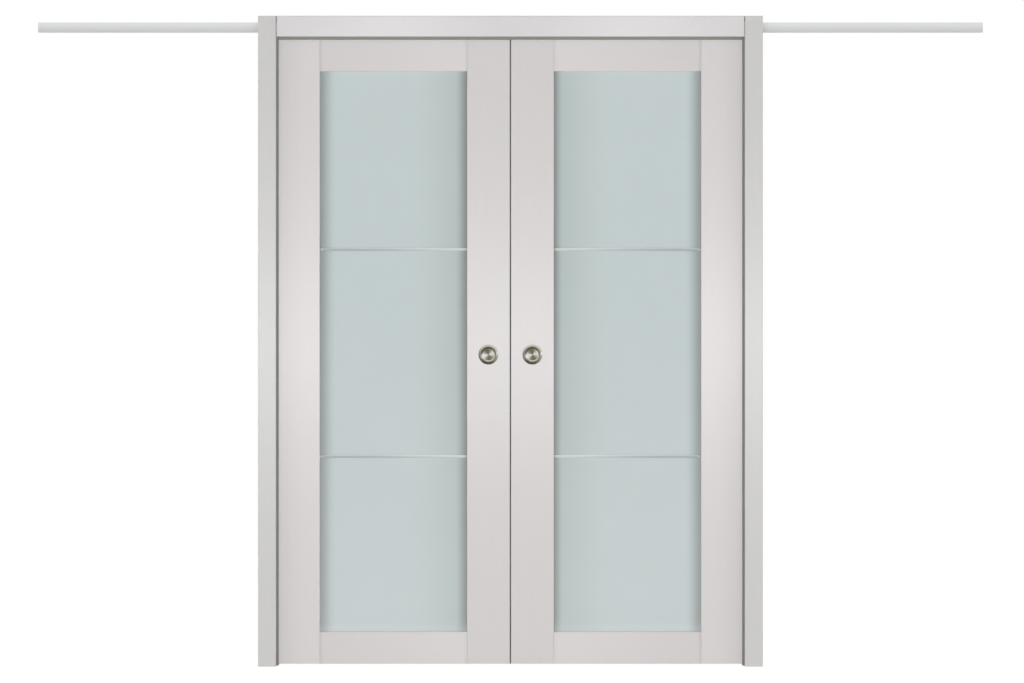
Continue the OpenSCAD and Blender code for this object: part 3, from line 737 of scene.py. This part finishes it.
edgePull = {
    "flange": 0.0015,
    "flangeFoot": 0.0003,     # chamfer where the flange meets the wood
    "flangeEdge": 0.0006,     # rounding of its outer edge
    "mouth": 0.020,           # diameter of the cup
    "lip": 0.0012,            # rounding of the mouth
    "depth": 0.011,
    "wall": 0.0015,
    "chamfer": 0.001,         # at the back of the cup
    "foot": 0.003,            # radius at the foot of the cup
    "segments": 96,
}


def makeEdgePull(side):  # let into the meeting edge, to draw the leaf out of its pocket
    node = f"{side}_edge_pull"
    low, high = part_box(node)
    rim = (high.y - low.y) / 2
    face = min(abs(low.x), abs(high.x))
    mouth, foot, lip = edgePull["mouth"] / 2, edgePull["foot"], edgePull["lip"]
    chamfer, flange = edgePull["chamfer"], edgePull["flange"]
    flangeFoot, flangeEdge = edgePull["flangeFoot"], edgePull["flangeEdge"]
    floor = -edgePull["depth"]
    under = floor - edgePull["wall"]
    barrel = mouth + edgePull["wall"]
    profile = [(0.0, under), (barrel - chamfer, under), (barrel, under + chamfer), (barrel, -flange),
               (rim - flangeFoot, -flange), (rim, flangeFoot - flange)]
    profile += arc((rim - flangeEdge, -flangeEdge), flangeEdge, 0, 90, 4)
    profile += arc((mouth + lip, -lip), lip, 90, 180, 5)
    profile += arc((mouth - foot, floor + foot), foot, 0, -90, 8)
    profile += [((mouth - foot) / 2, floor), (0.0, floor)]
    mesh = put(turn(profile, edgePull["segments"]), (sides[side] * face, 0.0, pullCentre.z),
               (-sides[side], 0, 0))
    return asPiece(f"{side}EdgePullTurned", mesh, "edgePullNickel", f"{side}_leaf", node)


for side in sides:
    makeEdgePull(side)
print("edge pulls turned")

thread = {
    "depth": 0.075,           # in parts of the diameter
    "crest": (0.35, 0.55),    # where a turn's flat crest lies, in parts of the pitch
    "screwPitch": 0.0017,
    "boltPitch": 0.00125,
    "segments": 24,
}


def threaded(radius, start, end, pitch):  # a profile that zigzags down a shank
    root = radius * (1 - 2 * thread["depth"])
    crestStart, crestEnd = thread["crest"]
    points = []
    for i in range(int((start - end) / pitch)):
        points += [(radius, start - (i + crestStart) * pitch), (radius, start - (i + crestEnd) * pitch),
                   (root, start - (i + 1) * pitch)]
    return points


screw = {
    "dome": 0.8,              # rounding of a domed head, in parts of its height
    "edge": 0.0002,           # chamfer of a flat head
    "plain": 0.002,           # shank without thread below the head
    "point": 0.7,             # length of the point, in diameters of the shank
}
recess = {"arm": 0.0011, "reach": 0.52, "depth": 0.0016, "taper": 0.62}  # cross in a screw's head


def crossRecess(mesh, radius, height):  # closes the open top of a spun head
    rim = [edge for edge in mesh.edges if edge.is_boundary]
    grid = bmesh.ops.create_grid(mesh, x_segments=3, y_segments=3, size=1.0)["verts"]
    reach, arm = radius * recess["reach"], recess["arm"] / 2
    for vert in grid:  # its points lie at 1 and at a third
        spots = [math.copysign(reach if abs(c) > 0.5 else arm, c) for c in vert.co.xy]
        vert.co = (*spots, height)
    faces = list({face for vert in grid for face in vert.link_faces})
    edge = [e for e in {e for v in grid for e in v.link_edges} if e.is_boundary]
    cross = [f for f in faces if min(abs(c) for c in f.calc_center_median().xy) < arm / 2]
    bmesh.ops.bridge_loops(mesh, edges=rim + edge)
    sunk = bmesh.ops.extrude_face_region(mesh, geom=cross)["geom"]
    bmesh.ops.delete(mesh, geom=cross, context="FACES_ONLY")
    for vert in sunk:
        if isinstance(vert, bmesh.types.BMVert):
            vert.co = (vert.co.x * recess["taper"], vert.co.y * recess["taper"], height - recess["depth"])


def makeScrew(head, shank, length, headHeight, domed):  # point downwards, top of the head at 0
    radius, thick = head / 2, shank / 2
    if domed:
        dome = headHeight * screw["dome"]
        profile = arc((radius - dome, -dome), dome, 60, 0, 5)
        profile += [(radius, -headHeight)]
    else:
        profile = [(radius - screw["edge"], 0.0), (radius, -screw["edge"])]
    top = profile[0]
    profile += [(thick, -headHeight)]
    profile += threaded(thick, -headHeight - screw["plain"], screw["point"] * shank - length,
                        thread["screwPitch"])
    profile += [(0.0, -length)]
    mesh = turn(profile, thread["segments"])
    crossRecess(mesh, top[0], top[1])
    return mesh


def makeScrews(name, node, body, kinds):
    parts = []
    for low, high in solidsOf(node):
        size = high - low
        along = max(range(3), key=lambda i: size[i])
        head, shank, headHeight, domed, end = kinds[along]
        towards = Vector((0, 0, 0))
        towards[along] = end or -math.copysign(1, low[along] + high[along])
        place = (low + high) / 2 + towards * (size[along] / 2)
        parts.append(put(makeScrew(head, shank, size[along], headHeight, domed), place, towards))
    return asPiece(name, joined(parts), "zincPlate", body, node)


# for screws along Y (1) and along Z (2): head, shank, height of the head, domed or flat, and which way
# the head looks, where 0 is towards the middle of the wall
plateScrew = {2: (0.007, 0.004, 0.0015, False, 1)}
frameScrew = {1: (0.0065, 0.0035, 0.0015, False, 0), 2: (0.0082, 0.0041, 0.0022, True, -1)}
for side in sides:
    makeScrews(f"{side}PlateScrewsCross", f"{side}_plate_screws", f"{side}_leaf", plateScrew)
makeScrews("frameScrewsCross", "frame_screws", "frame", frameScrew)
print("screws threaded")

hexagon = {
    "points": 48,
    "fall": 0.55,             # how steeply the corners fall away
    "face": 0.93,             # round face at either end, in parts of the width across the flats
    "chamfer": 0.0004,        # height of the chamfer below
    "upperChamfer": 0.0003,
}
nut = {
    "collar": 0.30,           # the part of its height that is round
    "collarWide": (0.86, 0.84, 0.80),  # at the foot, below the upper edge and on top
    "play": 0.00006,          # between the bolt and its bore
}
bolt = {
    "diameter": 0.008,
    "head": 0.005,
    "neck": 1.05,             # ring round the shank on top of the head, in times its radius
    "sunk": 0.0004,           # how deep the shank stands in the head
    "tip": 0.8,
    "tipChamfer": 0.0008,
    "tipPlain": 0.001,        # without thread at the tip
    "headPlain": 0.0002,      # and above the head
}


def hexRings(corner, rings):  # stacked rings: radius, or None for the hexagon, height, fall at the corners
    mesh = bmesh.new()
    ring = bmesh.ops.create_circle(mesh, cap_ends=False, segments=hexagon["points"], radius=1.0)
    verts, edges = ring["verts"], list(mesh.edges)
    flat = acrossFlats(corner)
    for i, (radius, height, fall) in enumerate(rings):
        if i:
            ring = bmesh.ops.extrude_edge_only(mesh, edges=edges)["geom"]
            verts = [item for item in ring if isinstance(item, bmesh.types.BMVert)]
            edges = [item for item in ring if isinstance(item, bmesh.types.BMEdge) and item.is_boundary]
        for vert in verts:
            angle = math.atan2(vert.co.y, vert.co.x)
            side = flat / math.cos((angle % (math.pi / 3)) - math.pi / 6)
            reach = side if radius is None else radius
            vert.co = (reach * math.cos(angle), reach * math.sin(angle), height + fall * (side - flat))
    return mesh


def acrossFlats(corner):  # half the width across the flats
    return corner * math.cos(math.pi / 6)


def makeBolt(tall, corner):  # its head below, then its threaded shank
    radius, head, fall = bolt["diameter"] / 2, bolt["head"], hexagon["fall"]
    flat = acrossFlats(corner)
    cap = hexRings(corner, [
        (flat * hexagon["face"], 0.0, 0.0), (None, hexagon["chamfer"], fall), (None, head, 0.0),
        (radius * bolt["neck"], head, 0.0)])
    bmesh.ops.holes_fill(cap, edges=[e for e in cap.edges if e.is_boundary])
    profile = [(0.0, tall), (radius * bolt["tip"], tall), (radius, tall - bolt["tipChamfer"])]
    profile += threaded(radius, tall - bolt["tipPlain"], head + bolt["headPlain"], thread["boltPitch"])
    profile += [(radius, head - bolt["sunk"]), (0.0, head - bolt["sunk"])]
    return joined([cap, turn(profile, thread["segments"])])


def makeNut(tall, corner):  # chamfered below, with a round collar on top
    bore, fall = bolt["diameter"] / 2 + nut["play"], hexagon["fall"]
    flat, crown = acrossFlats(corner), tall * (1 - nut["collar"])
    face = flat * hexagon["face"]
    foot, edge, top = (flat * part for part in nut["collarWide"])
    return hexRings(corner, [
        (bore, 0.0, 0.0), (face, 0.0, 0.0), (None, hexagon["chamfer"], fall),
        (None, crown - hexagon["upperChamfer"], -fall), (face, crown, 0.0), (foot, crown, 0.0),
        (edge, tall - hexagon["upperChamfer"], 0.0), (top, tall, 0.0), (bore, tall, 0.0), (bore, 0.0, 0.0)])


def makeHangerBolts(side):  # each with its lock nut
    node = f"{side}_hanger_bolts"
    parts = []
    for low, high in solidsOf(node):
        centre, corner, tall = (low + high) / 2, (high.x - low.x) / 2, high.z - low.z
        make = makeBolt if tall > 2 * corner else makeNut
        parts.append(put(make(tall, corner), (centre.x, centre.y, low.z)))
    return asPiece(f"{side}HangerBoltsThreaded", joined(parts), "zincPlate", f"{side}_leaf",
                   node)


for side in sides:
    makeHangerBolts(side)
print("hanger bolts threaded")

wheel = {
    "bore": 0.00255,          # radius
    "bearing": 0.0062,        # outside radius of the ball bearing
    "bearingSunk": 0.0003,    # how far its rings lie below the sides of the wheel
    "race": 0.0013,           # width of its outer ring
    "innerRace": 0.8,         # width of its inner ring, in parts of the outer one's
    "shield": 0.0006,         # how far the shield lies below the rings
    "tread": 0.0005,          # rounding of the tread's corners
    "shoulder": (0.0014, 0.0017),  # from the tread to the upper and lower edge of the dish's outer side
    "dish": 0.0007,           # between the tyre and the bearing
    "lip": 0.0009,            # round the bearing
    "lipTop": 0.8,            # its width on top, in parts of its width below
    "lipSunk": 0.0001,
    "segments": 72,
}


def makeTyre(radius, half):
    hub, tread, lip = wheel["bearing"], wheel["tread"], wheel["lip"]
    high, low = (radius - inward for inward in wheel["shoulder"])
    dish, lipTop = half - wheel["dish"], half - wheel["lipSunk"]
    profile = [(hub, -half)]
    profile += arc((radius - tread, tread - half), tread, -90, 0, 4)
    profile += arc((radius - tread, half - tread), tread, 0, 90, 4)
    profile += [(high, half), (low, dish), (hub + lip, dish), (hub + lip * wheel["lipTop"], lipTop),
                (hub, lipTop), (hub, -half)]
    return turn(profile, wheel["segments"])


def makeBearing(half):
    bore, outer, edge = wheel["bore"], wheel["bearing"], half - wheel["bearingSunk"]
    inside = outer - wheel["race"]
    outside = bore + wheel["race"] * wheel["innerRace"]
    shield = edge - wheel["shield"]
    return turn([(bore, -edge), (outer, -edge), (outer, edge), (inside, edge), (inside, shield),
                 (outside, shield), (outside, edge), (bore, edge), (bore, -edge)], wheel["segments"])


def makeWheels(side, axle):
    node, body = f"{side}_wheels_{axle}", f"{side}_wheel_pair_{axle}"
    tyres, bearings = [], []
    for low, high in solidsOf(node):
        radius, half = (high.z - low.z) / 2, (high.y - low.y) / 2
        centre, outward = (low + high) / 2, (0, math.copysign(1, low.y + high.y), 0)
        tyres.append(put(makeTyre(radius, half), centre, outward))
        bearings.append(put(makeBearing(half), centre, outward))
    asPiece(f"{side}Tyres{axle}", joined(tyres), "nylon", body, node)
    asPiece(f"{side}Bearings{axle}", joined(bearings), "zincPlate", body, node)


for side in sides:
    for axle in (1, 2, 3, 4):
        makeWheels(side, axle)
print("wheels turned")

buffer = {
    "nose": 0.0025,           # rounding of its front
    "foot": 0.003,            # plain length at its back
    "plain": 0.004,           # plain length at both ends together, without the rounding
    "grooves": 3,
    "depth": 0.0009,          # of a groove
    "wide": 0.0014,           # half its width at the surface
    "narrow": 0.0006,         # half its width further down
    "slope": 0.7,             # how deep that is, in parts of the depth
    "segments": 64,
}


def makeBuffers():  # rubber bumpers with grooves, so that they give
    parts = []
    for low, high in solidsOf("stop_buffers"):
        centre, radius, length = (low + high) / 2, (high.z - low.z) / 2, high.x - low.x
        step = (length - buffer["nose"] - buffer["plain"]) / buffer["grooves"]
        deep, sloped = radius - buffer["depth"], radius - buffer["depth"] * buffer["slope"]
        profile = [(0.0, 0.0), (radius, 0.0)]
        for i in range(buffer["grooves"]):
            groove = buffer["foot"] + i * step + step / 2
            profile += [(radius, groove - buffer["wide"]), (sloped, groove - buffer["narrow"]),
                        (deep, groove), (sloped, groove + buffer["narrow"]),
                        (radius, groove + buffer["wide"])]
        profile += arc((radius - buffer["nose"], length - buffer["nose"]), buffer["nose"], 0, 90, 6)
        profile += [(0.0, length)]
        outward = math.copysign(1, centre.x)
        towards = -outward if abs(centre.x) > leafHigh.x else outward  # the outer ones look back inwards
        foot = centre - Vector((towards * length / 2, 0, 0))
        parts.append(put(turn(profile, buffer["segments"]), foot, (towards, 0, 0)))
    asPiece("stopBuffersGrooved", joined(parts), "bufferRubber", "frame", "stop_buffers")


makeBuffers()
print("buffers turned")


# rounded edges: their width, the least angle and length of an edge that is rounded, the crease kept sharp
boardEdges = {"width": 0.0005, "shallowest": 80.0, "shortest": 0.03, "crease": 20.0}
flatAngle = 0.5                             # faces that meet within this many degrees become one


def eased(node, finish, body, slot, width, shallowest=30.0, shortest=0.0, crease=35.0):
    mesh = copyOf(node)
    bmesh.ops.dissolve_limit(mesh, angle_limit=math.radians(flatAngle), verts=mesh.verts, edges=mesh.edges)
    edges = [e for e in mesh.edges if len(e.link_faces) == 2 and e.calc_length() > shortest
             and e.calc_face_angle() > math.radians(shallowest)]
    bmesh.ops.bevel(mesh, geom=edges, offset=width, offset_type="OFFSET", affect="EDGES", segments=2,
                    profile=0.5, material=-1, clamp_overlap=True)
    first, *rest = node.split("_")
    name = first + "".join(word.title() for word in rest) + "Eased"
    return asPiece(name, mesh, finish, body, node, crease)


boards = []
for side in sides:
    for part in ("outer_stile", "top_rail", "bottom_rail"):
        boards.append(eased(f"{side}_{part}", leafDress[part], f"{side}_leaf", "leaf_wood", **boardEdges))
for where in ("left", "right", "head"):
    for face in ("front", "back"):
        for part in ("jamb", "casing"):
            node = f"{where}_{face}_{part}"
            boards.append(eased(node, frameDress[node], "frame", "frame_wood", **boardEdges))
print("boards eased:", len(boards))

leafEdges = {  # node: slot, width of the rounding
    "divider_bars": ("divider_aluminium", 0.0004),
    "hanger_plates": ("zinc_steel", 0.0004),
    "trolleys": ("zinc_steel", 0.0005),
}
frameEdges = {
    "track": ("track_aluminium", 0.0004),
    "track_stops": ("zinc_steel", 0.0006),
    "floor_guides": ("nylon", 0.0006),
}
for part, (slot, width) in leafEdges.items():
    for side in sides:
        eased(f"{side}_{part}", leafDress[part], f"{side}_leaf", slot, width)
for node, (slot, width) in frameEdges.items():
    eased(node, frameDress[node], "frame", slot, width)
print("edges eased")


# Stage

studio = {
    "white": 0.50,            # glow of the floor near the doorway, which its light and shadow add to
    "whiteReach": (3.0, 6.0),  # from here to here it turns plain white, without light or shadow
    "gapReach": (0.12, 0.08),  # and so it does under the leaves, where the gap below them stays pale
    "mirrored": 0.58,         # share of the glow that metal and glass see
    "floorColour": 0.85,
    "floorBounce": 0.93,      # its colour for the light that it throws back at the object
    "floorSize": 80.0,
    "floorDrop": 0.0005,      # below the foot of the object
    "ambient": 0.285,
    "aim": Vector((0.0, 0.0, 1.05)),  # of the lamps
}


def lightPaths(finish):  # what the camera sees, and what shiny surfaces and glass see
    camera, glossy, through = (finish.node("ShaderNodeLightPath", {}, {}, name) for name in
                               ("Is Camera Ray", "Is Glossy Ray", "Is Transmission Ray"))
    return camera, glossy.atLeast(through)


def makeStageMaterial(name):
    finish = Finish(name, {"Emission Strength": 1.0, "Roughness": 1.0, "Specular IOR Level": 0.0})
    x, y, z = finish.axes(finish.place())
    camera, mirror = lightPaths(finish)
    far = finish.between((x * x + y * y).root(), *studio["whiteReach"], kind="LINEAR")
    under = finish.between(abs(y).atLeast(abs(x) - leafHigh.x), *studio["gapReach"], kind="LINEAR")
    plain = far.atLeast(under)
    glow = (camera + mirror * studio["mirrored"]) * (plain * (1 - studio["white"]) + studio["white"])
    seen = camera.atLeast(mirror)
    grey = seen * ((1 - plain) * studio["floorColour"] - studio["floorBounce"]) + studio["floorBounce"]
    for socket, level in (("Base Color", grey), ("Emission Color", glow)):
        finish.feed(socket, finish.node("ShaderNodeCombineColor", {}, {0: level, 1: level, 2: level}))
    finish.made.cycles.emission_sampling = "NONE"  # the glow lights nothing, so no light is sought there
    return finish.made


def makeFloor():
    mesh = bmesh.new()
    bmesh.ops.create_grid(mesh, x_segments=1, y_segments=1, size=studio["floorSize"] / 2)
    data = bpy.data.meshes.new("floor")
    mesh.to_mesh(data)
    mesh.free()
    data.materials.append(makeStageMaterial("paleFloor"))
    floor = bpy.data.objects.new("floor", data)
    floor.location.z = cadLow.z - studio["floorDrop"]
    bpy.context.scene.collection.objects.link(floor)
    return floor


def makeWorld():  # white to look at, softer as a light
    sky = Finish("studio", {"Color": (1.0, 1.0, 1.0, 1.0)}, "worlds", "Background")
    camera, mirror = lightPaths(sky)
    sky.feed("Strength", camera.atLeast(mirror) * (1 - studio["ambient"]) + studio["ambient"])
    bpy.context.scene.world = sky.made


lamps = {  # watts: of the lamp before the wall, and of its twin behind the wall
    "leftSoftbox": {"place": (-5.2, -3.4, 0.60), "size": (2.4, 1.1), "watts": (31.0, 31.0)},
    "rightSoftbox": {"place": (5.2, -3.4, 0.60), "size": (2.4, 1.1), "watts": (31.0, 31.0)},
    "frontSoftbox": {"place": (0.0, -9.0, 0.45), "size": (3.0, 0.8), "watts": (430.0, 430.0)},
    "leftLamp": {"place": (-9.0, 0.0, 1.05), "size": (0.5, 2.0), "watts": (260.0, 0.0)},
    "rightLamp": {"place": (9.0, 0.0, 1.05), "size": (0.5, 2.0), "watts": (260.0, 0.0)},
    # lays the satin glow across the boards
    "levelStrip": {"place": (0.0, -5.0, 1.05), "size": (6.0, 0.25), "watts": (78.0, 78.0),
                   "only": "satinBoards"},
    # lights the floor alone; from the camera its shadow lies hidden behind the doorway
    "shadowLamp": {"place": (0.0, -30.0, 13.0), "size": (1.3, 1.3), "watts": (4000.0, 0.0),
                   "only": "litFloor"},
}


def makeLamp(name, place, size, watts, only=None):
    data = bpy.data.lights.new(name, "AREA")
    data.shape = "RECTANGLE"
    data.size, data.size_y = size
    data.energy = watts
    lamp = bpy.data.objects.new(name, data)
    lamp.location = place
    lamp.rotation_euler = (studio["aim"] - Vector(place)).to_track_quat("-Z", "Y").to_euler()
    lamp.visible_camera = False
    lamp.visible_glossy = only == "satinBoards"
    lamp.visible_diffuse = only != "satinBoards"
    if only:
        lamp.light_linking.receiver_collection = bpy.data.collections[only]
    bpy.context.scene.collection.objects.link(lamp)
    return lamp


def gather(name, things):  # the things that a lamp with an "only" lights
    collection = bpy.data.collections.new(name)
    for thing in things:
        collection.objects.link(thing)


gather("satinBoards", boards + [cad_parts[f"{side}_meeting_stile"] for side in sides])
gather("litFloor", [makeFloor()])
makeWorld()
for name, lamp in lamps.items():
    for wallSide, facing, watts in (("", 1, lamp["watts"][0]), ("Behind", -1, lamp["watts"][1])):
        if watts:
            x, y, z = lamp["place"]
            makeLamp(name + wallSide, (x, y * facing, z), lamp["size"], watts, lamp.get("only"))
print("stage set, kinds of lamp:", len(lamps))

cameraSet = {
    "distance": 16.0,         # from the middle of the wall
    "metresPerPixel": 0.003225,  # at the face of the leaves
    "centreX": 510.45,        # where the middle of the doorway and the foot of the casings lie, in pixels
    "footY": 666.6,
    "frameWidth": 1024,
    "frameHeight": 683,
    "sensor": 36.0,
    "farthest": 200.0,
}


def makeCamera():
    data = bpy.data.cameras.new("camera")
    data.sensor_width = cameraSet["sensor"]
    focal = (cameraSet["distance"] - leafFace) / cameraSet["metresPerPixel"]  # in pixels
    data.lens = focal * data.sensor_width / cameraSet["frameWidth"]
    data.clip_end = cameraSet["farthest"]
    camera = bpy.data.objects.new("camera", data)
    nearScale = (cameraSet["distance"] + casingLow.y) / focal  # metres per pixel at the casings
    offX = (cameraSet["frameWidth"] / 2 - cameraSet["centreX"]) * nearScale
    height = (cameraSet["footY"] - cameraSet["frameHeight"] / 2) * nearScale
    camera.location = (offX, -cameraSet["distance"], height)
    camera.rotation_euler = (math.radians(90), 0.0, 0.0)
    bpy.context.scene.collection.objects.link(camera)
    bpy.context.scene.camera = camera
    print("camera at height", round(height, 4), "with lens", round(data.lens, 1))


makeCamera()
bpy.context.scene.view_settings.view_transform = "Standard"
